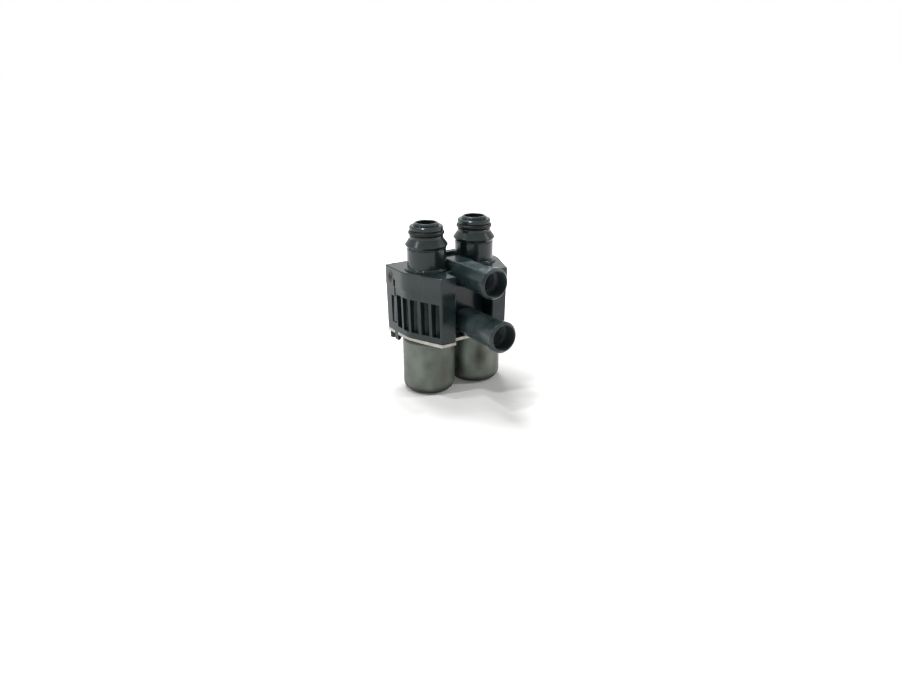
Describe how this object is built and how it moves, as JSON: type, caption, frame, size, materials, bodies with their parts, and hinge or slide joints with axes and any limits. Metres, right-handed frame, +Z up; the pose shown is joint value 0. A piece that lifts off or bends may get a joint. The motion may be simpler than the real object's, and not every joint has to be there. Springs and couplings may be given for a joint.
{
  "type": "heater control valve",
  "caption": "Twin solenoid heater control valve: slotted moulded body with stubs on top, hose ports at the front, coil cans below and a rear connector.",
  "frame": {"origin": "on the floor that the cans stand on, midway between the axes of the cans", "axes": "+Z up along the cans and the stubs, -Y the way the hose ports point, +X from the left can to the right can"},
  "size_m": [0.082, 0.1073, 0.1253],
  "materials": {
    "body_nylon": "moulded, slightly glossy",
    "can_steel": "deep-drawn, dull plated",
    "plate_steel": "stamped, zinc plated",
    "screw_steel": "plated",
    "connector_plastic": "moulded",
    "seal_rubber": "moulded",
    "terminal_metal": "tin plated",
    "bobbin_plastic": "moulded",
    "coil_copper": "enamelled wire",
    "tube_steel": "drawn, bright",
    "core_steel": "turned",
    "stem_steel": "turned",
    "spring_steel": "wound wire",
    "cartridge_plastic": "moulded"
  },
  "bodies": {
    "base": {"valve_body": "body_nylon", "yoke_plate": "plate_steel", "plate_screws": "screw_steel", "connector_housing": "connector_plastic", "connector_gasket": "seal_rubber", "terminal_bars": "terminal_metal", "left_can": "can_steel", "left_bobbin": "bobbin_plastic", "left_winding": "coil_copper", "left_coil_pins": "terminal_metal", "left_guide_tube": "tube_steel", "left_fixed_core": "core_steel", "left_return_spring": "spring_steel", "left_cartridge": "cartridge_plastic", "left_upper_packing": "seal_rubber", "left_lower_packing": "seal_rubber", "left_tube_seal": "seal_rubber", "left_stub_ring": "seal_rubber", "right_can": "can_steel", "right_bobbin": "bobbin_plastic", "right_winding": "coil_copper", "right_coil_pins": "terminal_metal", "right_guide_tube": "tube_steel", "right_fixed_core": "core_steel", "right_return_spring": "spring_steel", "right_cartridge": "cartridge_plastic", "right_upper_packing": "seal_rubber", "right_lower_packing": "seal_rubber", "right_tube_seal": "seal_rubber", "right_stub_ring": "seal_rubber"},
    "left_valve": {"left_armature": "core_steel", "left_stem": "stem_steel", "left_valve_disc": "seal_rubber", "left_disc_washer": "stem_steel"},
    "right_valve": {"right_armature": "core_steel", "right_stem": "stem_steel", "right_valve_disc": "seal_rubber", "right_disc_washer": "stem_steel"}
  },
  "joints": [
    {"name": "left_valve_slide", "type": "slide", "parent": "base", "child": "left_valve", "axis": [0, 0, 1], "range_m": [-0.0034, 0], "stiffness_N_per_m": 800, "springref_m": 0.002, "deforming": ["left_return_spring"]},
    {"name": "right_valve_slide", "type": "slide", "parent": "base", "child": "right_valve", "axis": [0, 0, 1], "range_m": [-0.0034, 0], "stiffness_N_per_m": 800, "springref_m": 0.002, "deforming": ["right_return_spring"]}
  ]
}
